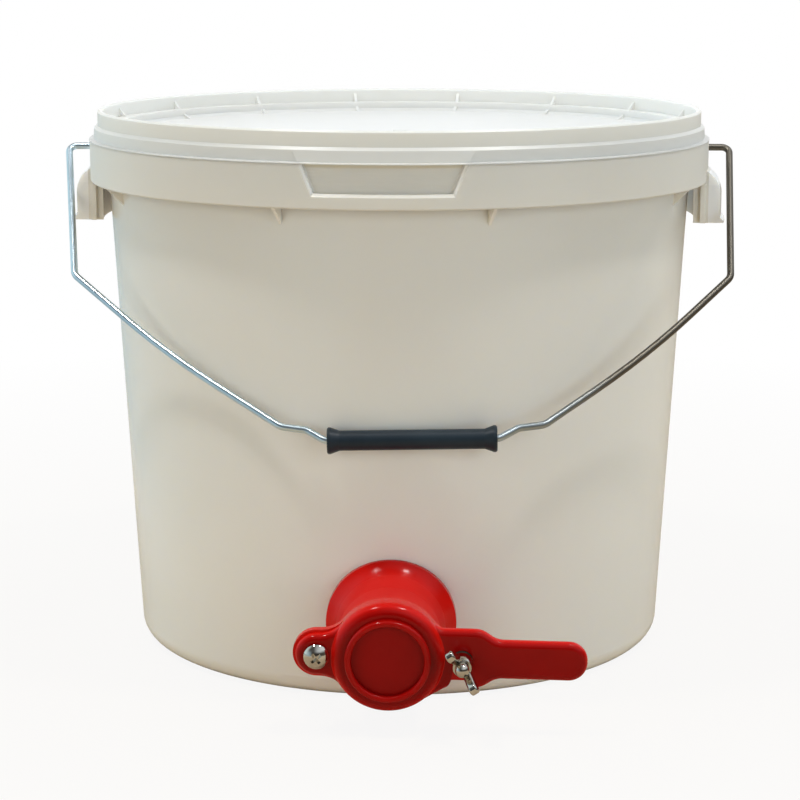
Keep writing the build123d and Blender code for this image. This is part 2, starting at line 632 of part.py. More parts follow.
def make_gate_shutter():
    """Swinging plate: round part with its raised ring, pivot ear, slotted arm and handle."""
    tongue_x, tongue_y = tongue_centre()
    tongue_meet = tongue_x + math.sqrt(TONGUE_R**2 - (ARM_HALF_W + tongue_y) ** 2)
    arm_meet = math.sqrt(DISC_R**2 - ARM_HALF_W**2)
    face = add_ear(Circle(DISC_R), PIVOT_X, SHUTTER_EAR_R) + shutter_arm() + slot_tongue()
    face = round_corner(face, (arm_meet, ARM_HALF_W), ARM_BLEND_R)
    face = round_corner(face, (tongue_meet, -ARM_HALF_W), ARM_BLEND_R)
    plate = extrude(face, ARM_T)
    plate = fillet(plate.faces().sort_by(Axis.Z)[-1].outer_wire().edges(), SHUTTER_EDGE)
    plate -= extrude(bolt_slot(), ARM_T)
    disc = fillet(rod(DISC_R, 0, SHUTTER_T).faces().sort_by(Axis.Z)[-1].edges(), DISC_EDGE)
    bead = ring(SEAL_RING_R - SEAL_RING_W, SEAL_RING_R, SHUTTER_T / 2, SHUTTER_T + SEAL_RING_H)
    bead = fillet(bead.faces().sort_by(Axis.Z)[-1].edges(), SEAL_RING_EDGE)
    shutter = plate + disc + bead - Pos(PIVOT_X, 0, 0) * rod(SCREW_R + PIN_GAP, -OVERCUT, ARM_T + OVERCUT)
    return GATE_PLANE * (Pos(0, 0, SHUTTER_BACK) * shutter)


def on_gate(x, part):
    """A part on a screw's axis, moved to its place on the gate."""
    return GATE_PLANE * (Pos(x, 0, 0) * part)


def hexagon(low, high, bore):
    """Hexagonal prism with a bore, or none."""
    prism = Pos(0, 0, low) * extrude(RegularPolygon(NUT_AF / 2, 6, major_radius=False), high - low)
    return prism - rod(bore, low, high) if bore else prism


def domed(radius, side, height):
    """A round head or end with an upright side and a domed top, or only the dome if the side is 0."""
    crown, foot, edge = (0, height), (radius, 0), (radius, side)
    flanks = Polyline(crown, (0, 0), foot, edge) if side else Polyline(crown, (0, 0), edge)
    dome = TangentArc(crown, edge, tangent=(1, 0))
    return revolve(Plane.XZ * make_face([*flanks.edges(), dome.edge()]), Axis.Z)


def make_pivot_screw():
    """Pan-head machine screw with a cross recess, which the shutter turns on."""
    head = domed(HEAD_R, HEAD_SIDE, HEAD_H)
    arm = block((-CROSS_R, CROSS_R), (-CROSS_W / 2, CROSS_W / 2), (HEAD_H - CROSS_DEPTH, HEAD_H))
    head -= [Rot(0, 0, CROSS_TURN + turn) * arm for turn in (0, 90)]
    tail = NECK_L - WASHER_T - HEX_T - SCREW_TAIL
    screw = Pos(0, 0, ARM_FACE) * head + rod(SCREW_R, tail, ARM_FACE)
    return on_gate(PIVOT_X, screw)


def make_pivot_washer():
    return on_gate(PIVOT_X, ring(SCREW_R + BOLT_GAP, WASHER_R, NECK_L - WASHER_T, NECK_L))


def make_pivot_nut():
    high = NECK_L - WASHER_T
    return on_gate(PIVOT_X, hexagon(high - HEX_T, high, SCREW_R + THREAD_GAP))


def make_wing_bolt():
    """Hex bolt from behind the plate, through the shutter's slot, with a domed end."""
    tip_z = ARM_FACE + WASHER_T + WING_HUB_H + BOLT_OUT
    shank = rod(SCREW_R, NECK_L - BOLT_HEAD_T / 2, tip_z)
    bolt = hexagon(NECK_L - BOLT_HEAD_T, NECK_L, 0) + shank + Pos(0, 0, tip_z) * domed(SCREW_R, 0, BOLT_TIP)
    return on_gate(STUD_X, bolt)


def make_wing_washer():
    return on_gate(STUD_X, ring(SCREW_R + BOLT_GAP, WING_WASHER_R, ARM_FACE, ARM_FACE + WASHER_T))


def make_wing_nut():
    """Barrel-shaped hub with two upswept wings."""
    foot = ARM_FACE + WASHER_T
    low, high = (WING_HUB_END_R, 0), (WING_HUB_END_R, WING_HUB_H)
    ends = Polyline(high, (0, WING_HUB_H), (0, 0), low)
    flank = ThreePointArc(low, (WING_HUB_R, WING_HUB_H / 2), high)
    hub = revolve(Plane.XZ * make_face([*ends.edges(), flank.edge()]), Axis.Z)
    root = Pos(WING_HUB_END_R / 2, WING_HUB_H / 2) * Circle(WING_HUB_END_R / 2)
    tip = Pos(WING_REACH, WING_RISE) * Circle(WING_TIP_R)
    wing = make_hull([*root.edges(), *tip.edges()])
    wing = extrude(Plane.XZ * wing, WING_T / 2, both=True)
    flanks = wing.faces().sort_by(Axis.Y)
    wing = fillet([*flanks[0].edges(), *flanks[-1].edges()], WING_EDGE)
    thread = rod(SCREW_R + THREAD_GAP, -OVERCUT, WING_RISE + 2 * WING_TIP_R)
    nut = hub + wing + Rot(0, 0, 180) * wing - thread
    return on_gate(STUD_X, Pos(0, 0, foot) * (Rot(0, 0, WING_TURN) * nut))


PARTS = {
    "pail": make_pail,
    "lid": make_lid,
    "bail_wire": make_bail_wire,
    "bail_grip": make_bail_grip,
    "gate_body": make_gate_body,
    "gate_gasket": make_gate_gasket,
    "gate_nut": make_gate_nut,
    "gate_shutter": make_gate_shutter,
    "pivot_screw": make_pivot_screw,
    "pivot_washer": make_pivot_washer,
    "pivot_nut": make_pivot_nut,
    "wing_bolt": make_wing_bolt,
    "wing_washer": make_wing_washer,
    "wing_nut": make_wing_nut,
}

os.makedirs("parts", exist_ok=True)
for name, make in PARTS.items():
    export_step(make(), f"parts/{name}.step")
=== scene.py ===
"""Looks of a honey settling pail: finishes for its CAD pieces, screw threads, mould marks and a studio."""

import math

import bpy
from mathutils import Euler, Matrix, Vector


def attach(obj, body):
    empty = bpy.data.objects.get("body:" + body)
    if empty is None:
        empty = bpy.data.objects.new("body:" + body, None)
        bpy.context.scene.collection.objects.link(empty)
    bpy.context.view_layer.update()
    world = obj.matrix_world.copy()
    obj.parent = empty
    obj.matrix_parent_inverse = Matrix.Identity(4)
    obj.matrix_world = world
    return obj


bl_info = {
    "name": "Honey settling pail",
    "version": (1, 0, 0),
    "blender": (4, 5, 0),
    "location": "3D View > Sidebar > Pail",
    "description": "Dresses the packed honey settling pail and sets up its studio",
    "category": "Object",
}

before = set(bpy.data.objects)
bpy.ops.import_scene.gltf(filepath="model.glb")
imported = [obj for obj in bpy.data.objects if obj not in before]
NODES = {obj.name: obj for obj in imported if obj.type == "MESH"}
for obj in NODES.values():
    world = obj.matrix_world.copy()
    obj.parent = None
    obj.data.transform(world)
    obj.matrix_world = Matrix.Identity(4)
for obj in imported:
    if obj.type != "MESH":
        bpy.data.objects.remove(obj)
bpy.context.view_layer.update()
MM = 0.001

# The gate's own axes, as the CAD source gives them: place on the wall in metres, lean and roll in degrees
GATE_ORIGIN = Vector((0.0, -0.142962, 0.0411))
GATE_LEAN = 3.15
GATE_ROLL = -1.4
PIVOT_X = -33.8 * MM
STUD_X = 35.2 * MM

# Distances along the gate's axis, from the wall outwards
PLATE_BACK = 42.0 * MM
SHUTTER_BACK = 47.0 * MM
PIVOT_TAIL = 33.8 * MM
BOLT_END = 66.3 * MM
SPIGOT_END = -20.0 * MM
RING_NUT_BACK = -17.0 * MM

# The shutter in the gate's axes: its disc and arm, the floor inside its raised ring, and the heights on that
# ring's bead and the depths below the faces where the painted highlight lies. Then the reach of the body's
# satin neck and the height of the stipple on the ring's floor
DISC_RADIUS = 27.1 * MM
ARM_FACE = 51.4 * MM
DISC_RISE = 3.2 * MM
RING_FLOOR_RADIUS = 17.2 * MM
RING_FLOOR_LOW = 51.5 * MM
BEAD_HIGHLIGHT_HEIGHTS = (55.0 * MM, 57.5 * MM)
RIM_HIGHLIGHT_DEPTHS = (0.2 * MM, 2.4 * MM)
NECK_REACH = (10.0 * MM, 37.0 * MM)
STIPPLE_HEIGHT = 0.06 * MM

# Finger recess in the front of the collar: where it lies, how its sides slant, its fine lines, and the bands
# of its painted highlight on the slanted sides and painted shadow along the top
RECESS_SIDES = (-39.0 * MM, 33.0 * MM)
RECESS_HEIGHTS = (254.5 * MM, 268.5 * MM)
RECESS_RADII = (158.0 * MM, 161.2 * MM)
RECESS_MIDDLE = -3.2 * MM
RECESS_FOOT = 254.6 * MM
RECESS_FOOT_HALF = 33.1 * MM
RECESS_SLANT = 0.41
RECESS_EDGE = (-1.0 * MM, 1.2 * MM)
RECESS_STRIP = (266.6 * MM, 269.0 * MM)
RECESS_LINES = 1.6 * MM
RECESS_LINE_HEIGHT = 0.025 * MM

# Heights and radii of the painted shade on the pail's wall, collar and the lid's skirt, of the painted
# light on the ears, the rings that the lid's mould left, and the side of the wire's painted reflection
WALL_SHADE_HEIGHTS = (50.0 * MM, 250.0 * MM)
COLLAR_SHADE_HEIGHTS = (244.5 * MM, 247.5 * MM)
EAR_RADIUS = 165.5 * MM
SKIRT_RADII = (157.5 * MM, 159.0 * MM)
LID_RINGS = 4.0 * MM
LID_RING_HEIGHT = 0.008 * MM
DARK_REFLECTION_SIDE = (20.0 * MM, 110.0 * MM)

# Flat faces that carry the mould marks, under the base and on the lid's panel
BASE_FACE = 1.8 * MM
LID_PANEL = 271.5 * MM

# Making of the threads and marks: share of the pitch that a ridge fills to each side, pitches that the
# spigot's thread runs past the spigot's end and into the ring nut, facets, smoothing angles
RIDGE_SHARE = 0.42
SPIGOT_RUN_OUT, SPIGOT_RUN_IN = 0.4, 0.9
TURN_FACETS = 48
LEAST_FACETS = 12
THREAD_SMOOTHING = math.radians(25.0)
MARK_SMOOTHING = math.radians(40.0)

# Light of the studio: colours, the point that the lamps face, and the lamps by name, place, width and
# height, the setting that holds their power, their share of it, colour, and whether surfaces reflect them
WHITE = (1.0, 1.0, 1.0)
COOL, DAYLIGHT, WARM, PLAIN = (0.62, 0.86, 1.0), (0.79, 0.91, 1.0), (1.0, 0.96, 0.87), (1.0, 0.99, 0.97)
PAIL_MIDDLE = (0.0, 0.0, 0.15)
LAMPS = (
    ("top_left_lamp", (-0.5, -0.32, 1.45), (0.18, 0.12), "top_power", 1.0, PLAIN, True),
    ("top_right_lamp", (0.5, -0.32, 1.45), (0.18, 0.12), "top_power", 1.0, PLAIN, True),
    ("left_lamp", (-1.15, 0.68, 0.45), (0.5, 1.0), "left_power", 1.0, COOL, False),
    ("right_lamp", (1.15, 0.75, 0.55), (0.4, 0.9), "right_power", 1.0, DAYLIGHT, False),
    ("left_fill_lamp", (-1.0, -1.05, 0.35), (1.0, 1.1), "fill_power", 1.0, WARM, False),
    ("right_fill_lamp", (1.0, -1.05, 0.35), (1.0, 1.1), "fill_power", 1.43, DAYLIGHT, False),
)

# Camera: sensor in millimetres, and the photograph's width and sideways shift in pixels
SENSOR_WIDTH = 36.0
PHOTO_WIDTH = 800
PHOTO_SHIFT = 0.74

# Sockets of the Mix node for colours, by number because their names repeat
MIX_FACTOR, MIX_FIRST, MIX_SECOND, MIX_RESULT = 0, 6, 7, 2


class PailFinish(bpy.types.PropertyGroup):
    """Colours and grain of the moulded pail and lid."""

    pail_colour: bpy.props.FloatVectorProperty(
        name="Pail colour",
        description="Natural plastic of the pail",
        subtype="COLOR",
        size=3,
        min=0.0,
        max=1.0,
        default=(0.92, 0.86, 0.755),
    )
    pail_shade: bpy.props.FloatVectorProperty(
        name="Pail shade",
        description="Slightly darker plastic that drifts through the wall",
        subtype="COLOR",
        size=3,
        min=0.0,
        max=1.0,
        default=(0.90, 0.835, 0.725),
    )
    # Painted shade: the colour that the wall darkens into up its height and at the collar
    collar_painted_shade: bpy.props.FloatVectorProperty(
        name="Collar colour",
        description="Painted shade: darker colour up the wall and at the collar",
        subtype="COLOR",
        size=3,
        min=0.0,
        max=1.0,
        default=(0.71, 0.675, 0.60),
    )
    # Painted light: a paler colour that makes the ears look brightly lit
    ear_painted_light: bpy.props.FloatVectorProperty(
        name="Ear colour",
        description="Painted light: paler colour on the ears",
        subtype="COLOR",
        size=3,
        min=0.0,
        max=1.0,
        default=(0.96, 0.935, 0.88),
    )
    # Painted highlight: pale colour on the recess's slanted sides, as if they caught the light
    recess_edge_highlight: bpy.props.FloatVectorProperty(
        name="Recess edge colour",
        description="Painted highlight along the slanted sides of the finger recess",
        subtype="COLOR",
        size=3,
        min=0.0,
        max=1.0,
        default=(0.97, 0.95, 0.90),
    )
    # Painted shadow: a tan strip that stands in for the shade under the lid's lip
    recess_strip_shadow: bpy.props.FloatVectorProperty(
        name="Recess strip colour",
        description="Tan strip along the top of the finger recess",
        subtype="COLOR",
        size=3,
        min=0.0,
        max=1.0,
        default=(0.70, 0.61, 0.42),
    )
    lid_colour: bpy.props.FloatVectorProperty(
        name="Lid colour",
        description="Whiter plastic of the lid",
        subtype="COLOR",
        size=3,
        min=0.0,
        max=1.0,
        default=(0.77, 0.77, 0.745),
    )
    # Painted shade: the darker colour of the lid's outer skirt
    skirt_painted_shade: bpy.props.FloatVectorProperty(
        name="Skirt colour",
        description="Painted shade: darker colour on the lid's outer skirt",
        subtype="COLOR",
        size=3,
        min=0.0,
        max=1.0,
        default=(0.665, 0.655, 0.615),
    )
    lid_shade: bpy.props.FloatVectorProperty(
        name="Lid shade",
        description="Slightly darker plastic that drifts through the lid",
        subtype="COLOR",
        size=3,
        min=0.0,
        max=1.0,
        default=(0.74, 0.735, 0.70),
    )
    grain_size: bpy.props.FloatProperty(
        name="Grain size",
        description="Distance between the grains of the mould's surface",
        unit="LENGTH",
        min=0.0001,
        default=0.0012,
    )


class GateFinish(bpy.types.PropertyGroup):
    """Colours of the gate and its rubber ring."""

    # Also the lighter red that the shutter's rims take as a painted highlight
    body_red: bpy.props.FloatVectorProperty(
        name="Body red",
        description="Moulded plastic of the gate's body and ring nut",
        subtype="COLOR",
        size=3,
        min=0.0,
        max=1.0,
        default=(0.58, 0.006, 0.003),
    )
    # Painted shade: the shutter's faces get a deeper red than the body, where the front gets little light
    shutter_shaded_red: bpy.props.FloatVectorProperty(
        name="Shutter red",
        description="Painted shade: deeper red of the shutter's faces",
        subtype="COLOR",
        size=3,
        min=0.0,
        max=1.0,
        default=(0.27, 0.0015, 0.001),
    )
    rubber: bpy.props.FloatVectorProperty(
        name="Rubber",
        description="Sealing ring inside the pail",
        subtype="COLOR",
        size=3,
        min=0.0,
        max=1.0,
        default=(0.035, 0.034, 0.032),
    )


class MetalFinish(bpy.types.PropertyGroup):
    """Colours of the wire, the screws and the grip."""

    # Pale blue plating; part of its blue is a painted reflection of a cool window on the left
    zinc: bpy.props.FloatVectorProperty(
        name="Zinc",
        description="Plated wire of the bail",
        subtype="COLOR",
        size=3,
        min=0.0,
        max=1.0,
        default=(0.64, 0.76, 0.83),
    )
    zinc_shade: bpy.props.FloatVectorProperty(
        name="Zinc shade",
        description="Duller patches of the plating",
        subtype="COLOR",
        size=3,
        min=0.0,
        max=1.0,
        default=(0.54, 0.64, 0.70),
    )
    # Painted reflection: the dark colour of the wire's right half, standing in for the dark room it reflects
    zinc_dark_reflection: bpy.props.FloatVectorProperty(
        name="Painted dark reflection",
        description="Painted reflection: dark colour on the wire's right half",
        subtype="COLOR",
        size=3,
        min=0.0,
        max=1.0,
        default=(0.155, 0.14, 0.115),
    )
    steel: bpy.props.FloatVectorProperty(
        name="Steel",
        description="Bright plated screws and nuts",
        subtype="COLOR",
        size=3,
        min=0.0,
        max=1.0,
        default=(0.64, 0.61, 0.55),
    )
    steel_shade: bpy.props.FloatVectorProperty(
        name="Steel shade",
        description="Handled, duller parts of the plating",
        subtype="COLOR",
        size=3,
        min=0.0,
        max=1.0,
        default=(0.42, 0.39, 0.33),
    )
    grip: bpy.props.FloatVectorProperty(
        name="Grip",
        description="Black plastic of the grip",
        subtype="COLOR",
        size=3,
        min=0.0,
        max=1.0,
        default=(0.008, 0.015, 0.023),
    )
    grip_dust: bpy.props.FloatVectorProperty(
        name="Grip dust",
        description="Rubbed, paler patches of the grip",
        subtype="COLOR",
        size=3,
        min=0.0,
        max=1.0,
        default=(0.014, 0.025, 0.035),
    )


class ThreadSizes(bpy.types.PropertyGroup):
    """Sizes of the screw threads and mould marks that the CAD pieces leave plain."""

    screw_radius: bpy.props.FloatProperty(
        name="Screw radius",
        description="Radius of the two screws",
        unit="LENGTH",
        default=3.2 * MM,
    )
    screw_pitch: bpy.props.FloatProperty(
        name="Screw pitch",
        description="Travel of one turn of the screws' thread",
        unit="LENGTH",
        default=1.27 * MM,
    )
    screw_crest: bpy.props.FloatProperty(
        name="Screw crest",
        description="How far the screws' thread stands out",
        unit="LENGTH",
        default=0.12 * MM,
    )
    spigot_radius: bpy.props.FloatProperty(
        name="Spigot radius",
        description="Radius of the gate's spigot",
        unit="LENGTH",
        default=23.5 * MM,
    )
    spigot_pitch: bpy.props.FloatProperty(
        name="Spigot pitch",
        description="Travel of one turn of the spigot's thread",
        unit="LENGTH",
        default=2.6 * MM,
    )
    spigot_crest: bpy.props.FloatProperty(
        name="Spigot crest",
        description="How far the spigot's thread stands out",
        unit="LENGTH",
        default=0.9 * MM,
    )
    pip_radius: bpy.props.FloatProperty(
        name="Mould pip radius",
        description="Round mark where the plastic entered the mould",
        unit="LENGTH",
        default=3.5 * MM,
    )
    pip_height: bpy.props.FloatProperty(
        name="Mould pip height",
        description="How far that mark stands out",
        unit="LENGTH",
        default=0.3 * MM,
    )


class StudioSettings(bpy.types.PropertyGroup):
    """Powers of the lamps, floor and camera of the studio."""

    top_power: bpy.props.FloatProperty(
        name="Top lamps",
        description="Power of each small lamp overhead",
        unit="POWER",
        default=6.8,
    )
    left_power: bpy.props.FloatProperty(
        name="Left lamp",
        description="Power of the tall lamp behind the pail on the left",
        unit="POWER",
        default=5.0,
    )
    right_power: bpy.props.FloatProperty(
        name="Right lamp",
        description="Power of the tall lamp behind the pail on the right",
        unit="POWER",
        default=5.0,
    )
    fill_power: bpy.props.FloatProperty(
        name="Fill lamps",
        description="Power of the large lamps in front at the sides, before their shares",
        unit="POWER",
        default=6.7,
    )
    floor_size: bpy.props.FloatProperty(
        name="Floor size",
        description="Width of the pale floor",
        unit="LENGTH",
        default=12.0,
    )
    floor_colour: bpy.props.FloatVectorProperty(
        name="Floor colour",
        description="Warm colour that the floor casts back on the pail",
        subtype="COLOR",
        size=3,
        min=0.0,
        max=1.0,
        default=(0.46, 0.36, 0.24),
    )
    floor_pale: bpy.props.FloatVectorProperty(
        name="Floor pale",
        description="Paler clouds of the floor",
        subtype="COLOR",
        size=3,
        min=0.0,
        max=1.0,
        default=(0.50, 0.40, 0.28),
    )
    camera_distance: bpy.props.FloatProperty(
        name="Camera distance",
        description="From the pail's axis to the camera, along the floor",
        unit="LENGTH",
        default=1.2737,
    )
    camera_height: bpy.props.FloatProperty(
        name="Camera height",
        description="Height of the camera over the floor",
        unit="LENGTH",
        default=0.3732,
    )
    camera_pitch: bpy.props.FloatProperty(
        name="Camera pitch",
        description="How far the camera looks down",
        subtype="ANGLE",
        default=math.radians(11.037),
    )
    camera_turn: bpy.props.FloatProperty(
        name="Camera turn",
        description="How far the camera stands to the right of the gate",
        subtype="ANGLE",
        default=math.radians(1.6),
    )
    lens: bpy.props.FloatProperty(
        name="Lens",
        description="Focal length of the camera",
        unit="CAMERA",
        default=106.893,
    )


def add_node(tree, kind, **values):
    """A node with its own settings and its inputs' values, by names with underscores for spaces."""
    node = tree.nodes.new(kind)
    for key, value in values.items():
        if hasattr(node, key):
            setattr(node, key, value)
        else:
            node.inputs[key.replace("_", " ")].default_value = value
    return node


def feed(tree, source, target):
    """Links an output socket to an input socket."""
    tree.links.new(source, target)


def calc(tree, operation, first, second=None):
    """A Math node's result, from sockets or plain numbers."""
    node = tree.nodes.new("ShaderNodeMath")
    node.operation = operation
    for socket, value in zip(node.inputs, (first, second)):
        if value is None:
            continue
        if isinstance(value, bpy.types.NodeSocket):
            feed(tree, value, socket)
        else:
            socket.default_value = value
    return node.outputs["Value"]


def ramp(tree, value, first, second):
    """A value that goes from 0 at the first bound to 1 at the second."""
    node = add_node(tree, "ShaderNodeMapRange", From_Min=first, From_Max=second)
    feed(tree, value, node.inputs["Value"])
    return node.outputs["Result"]


def between(tree, value, low, high, soft):
    """A mask that is 1 where a value lies between two bounds, with soft edges."""
    rise = ramp(tree, value, low - soft, low + soft)
    fall = ramp(tree, value, high + soft, high - soft)
    return calc(tree, "MULTIPLY", rise, fall)


def mixed_colour(tree, factor, first, second):
    """A colour between two, each a socket or plain values, by a factor's socket."""
    node = tree.nodes.new("ShaderNodeMix")
    node.data_type = "RGBA"
    feed(tree, factor, node.inputs[MIX_FACTOR])
    for number, value in ((MIX_FIRST, first), (MIX_SECOND, second)):
        if isinstance(value, bpy.types.NodeSocket):
            feed(tree, value, node.inputs[number])
        else:
            node.inputs[number].default_value = (*value, 1.0)
    return node.outputs[MIX_RESULT]


def new_group(name, inputs, outputs):
    """An empty shader node group with named sockets, given as pairs of name and socket kind."""
    group = bpy.data.node_groups.new(name, "ShaderNodeTree")
    for socket, kind in inputs:
        group.interface.new_socket(socket, in_out="INPUT", socket_type=kind)
    for socket, kind in outputs:
        group.interface.new_socket(socket, in_out="OUTPUT", socket_type=kind)
    return group, group.nodes.new("NodeGroupInput"), group.nodes.new("NodeGroupOutput")


def colour_drift_group():
    """Slow, cloudy change between two colours, with faint streaks along the height."""
    group, given, result = new_group(
        "Colour drift",
        [("Vector", "NodeSocketVector"), ("First", "NodeSocketColor"), ("Second", "NodeSocketColor"),
         ("Scale", "NodeSocketFloat"), ("Streaks", "NodeSocketFloat")],
        [("Color", "NodeSocketColor"), ("Mask", "NodeSocketFloat")],
    )
    cloud = add_node(group, "ShaderNodeTexNoise", Detail=4.0, Roughness=0.55)
    stretch = add_node(group, "ShaderNodeMapping", Scale=(9.0, 9.0, 0.35))
    streak = add_node(group, "ShaderNodeTexNoise", Detail=3.0, Roughness=0.6)
    feed(group, given.outputs["Vector"], cloud.inputs["Vector"])
    feed(group, given.outputs["Scale"], cloud.inputs["Scale"])
    feed(group, given.outputs["Vector"], stretch.inputs["Vector"])
    feed(group, stretch.outputs["Vector"], streak.inputs["Vector"])
    feed(group, given.outputs["Scale"], streak.inputs["Scale"])
    shaded = ramp(group, cloud.outputs["Fac"], 0.35, 0.68)
    centred = calc(group, "SUBTRACT", streak.outputs["Fac"], 0.5)
    weighted = calc(group, "MULTIPLY", centred, given.outputs["Streaks"])
    mask = calc(group, "ADD", shaded, weighted)
    mask.node.use_clamp = True
    colour = mixed_colour(group, mask, given.outputs["First"], given.outputs["Second"])
    feed(group, colour, result.inputs["Color"])
    feed(group, mask, result.inputs["Mask"])
    return group


def grain_group():
    """Fine moulded grain with a slow waviness, as a height in metres."""
    group, given, result = new_group(
        "Moulded grain",
        [("Vector", "NodeSocketVector"), ("Size", "NodeSocketFloat"), ("Depth", "NodeSocketFloat"),
         ("Waves", "NodeSocketFloat")],
        [("Height", "NodeSocketFloat")],
    )
    scale = calc(group, "DIVIDE", 1.0, given.outputs["Size"])
    fine = add_node(group, "ShaderNodeTexNoise", Detail=2.0, Roughness=0.5)
    slow = add_node(group, "ShaderNodeTexNoise", Scale=14.0, Detail=1.0)
    feed(group, given.outputs["Vector"], fine.inputs["Vector"])
    feed(group, scale, fine.inputs["Scale"])
    feed(group, given.outputs["Vector"], slow.inputs["Vector"])
    fine_part = calc(group, "MULTIPLY", fine.outputs["Fac"], given.outputs["Depth"])
    slow_part = calc(group, "MULTIPLY", slow.outputs["Fac"], given.outputs["Waves"])
    feed(group, calc(group, "ADD", fine_part, slow_part), result.inputs["Height"])
    return group


def handling_group():
    """Roughness of a handled surface: a level, smeared patches and hairline scratches."""
    group, given, result = new_group(
        "Handling marks",
        [("Vector", "NodeSocketVector"), ("Level", "NodeSocketFloat"), ("Smears", "NodeSocketFloat"),
         ("Scratches", "NodeSocketFloat")],
        [("Roughness", "NodeSocketFloat"), ("Scratch Mask", "NodeSocketFloat")],
    )
    smear = add_node(group, "ShaderNodeTexNoise", Scale=38.0, Detail=5.0, Roughness=0.62)
    turn = add_node(group, "ShaderNodeMapping", Rotation=(0.5, 0.9, 0.7), Scale=(1.0, 26.0, 1.0))
    hairs = add_node(group, "ShaderNodeTexNoise", Scale=60.0, Detail=3.0, Roughness=0.7)
    feed(group, given.outputs["Vector"], smear.inputs["Vector"])
    feed(group, given.outputs["Vector"], turn.inputs["Vector"])
    feed(group, turn.outputs["Vector"], hairs.inputs["Vector"])
    thin = ramp(group, hairs.outputs["Fac"], 0.66, 0.74)
    centred = calc(group, "SUBTRACT", smear.outputs["Fac"], 0.5)
    smeared = calc(group, "MULTIPLY", centred, given.outputs["Smears"])
    scratched = calc(group, "MULTIPLY", thin, given.outputs["Scratches"])
    total = calc(group, "ADD", calc(group, "ADD", given.outputs["Level"], smeared), scratched)
    total.node.use_clamp = True
    feed(group, total, result.inputs["Roughness"])
    feed(group, thin, result.inputs["Scratch Mask"])
    return group


def effect(name):
    """A shared effect's node group, built when it is first asked for."""
    makers = {
        "Colour drift": colour_drift_group,
        "Moulded grain": grain_group,
        "Handling marks": handling_group,
    }
    return bpy.data.node_groups.get(name) or makers[name]()


def place_effect(tree, name, vector, **values):
    """A shared effect in a material, reading that vector, with its own values."""
    node = tree.nodes.new("ShaderNodeGroup")
    node.node_tree = effect(name)
    feed(tree, vector, node.inputs["Vector"])
    for key, value in values.items():
        node.inputs[key].default_value = (*value, 1.0) if key in ("First", "Second") else value
    return node


def start_material(name):
    """A new material with its Principled shader and the object's own coordinates."""
    material = bpy.data.materials.new(name)
    material.use_nodes = True
    tree = material.node_tree
    shader = tree.nodes["Principled BSDF"]
    place = tree.nodes.new("ShaderNodeTexCoord")
    return material, tree, shader, place.outputs["Object"]


def finish_surface(tree, shader, colour, roughness, height):
    """Joins colour, roughness and a height in metres to the shader."""
    bump = add_node(tree, "ShaderNodeBump", Strength=1.0, Distance=1.0)
    feed(tree, height, bump.inputs["Height"])
    feed(tree, colour, shader.inputs["Base Color"])
    feed(tree, roughness, shader.inputs["Roughness"])
    feed(tree, bump.outputs["Normal"], shader.inputs["Normal"])


def split(tree, vector):
    """The three parts of a vector."""
    node = tree.nodes.new("ShaderNodeSeparateXYZ")
    feed(tree, vector, node.inputs["Vector"])
    return node.outputs["X"], node.outputs["Y"], node.outputs["Z"]


def radius_of(tree, first, second):
    """Distance from an axis, from two parts of a vector."""
    squares = calc(tree, "ADD", calc(tree, "POWER", first, 2.0), calc(tree, "POWER", second, 2.0))
    return calc(tree, "SQRT", squares)


def gate_coordinates(tree, vector):
    """The same point in the gate's own axes: x to the right, y up, z out of the wall."""
    turn = Euler((math.radians(-90.0 - GATE_LEAN), 0.0, 0.0))
    moved = turn.to_matrix() @ GATE_ORIGIN
    node = add_node(tree, "ShaderNodeMapping", Rotation=turn, Location=-moved)
    feed(tree, vector, node.inputs["Vector"])
    return node.outputs["Vector"]


def recess_masks(tree, x, y, z, radius):
    """Masks of the finger recess: its back, its slanted sides for a painted highlight, its top strip for a
    painted shadow.
    """
    tall = between(tree, z, *RECESS_HEIGHTS, soft=0.5 * MM)
    deep = between(tree, radius, *RECESS_RADII, soft=0.2 * MM)
    front = calc(tree, "LESS_THAN", y, 0.0)
    sunk = calc(tree, "MULTIPLY", deep, front)
    across = between(tree, x, *RECESS_SIDES, soft=1.0 * MM)
    back = calc(tree, "MULTIPLY", calc(tree, "MULTIPLY", across, tall), sunk)
    spread = calc(tree, "MULTIPLY", calc(tree, "SUBTRACT", z, RECESS_FOOT), RECESS_SLANT)
    half = calc(tree, "ADD", spread, RECESS_FOOT_HALF)
    beside = calc(tree, "SUBTRACT", calc(tree, "ABSOLUTE", calc(tree, "SUBTRACT", x, RECESS_MIDDLE)), half)
    sides = calc(tree, "MULTIPLY", between(tree, beside, *RECESS_EDGE, soft=0.4 * MM), tall)
    sides = calc(tree, "MULTIPLY", sides, front)
    strip = calc(tree, "MULTIPLY", between(tree, z, *RECESS_STRIP, soft=0.4 * MM), sunk)
    strip = calc(tree, "MULTIPLY", strip, calc(tree, "LESS_THAN", beside, RECESS_EDGE[0]))
    return back, sides, strip


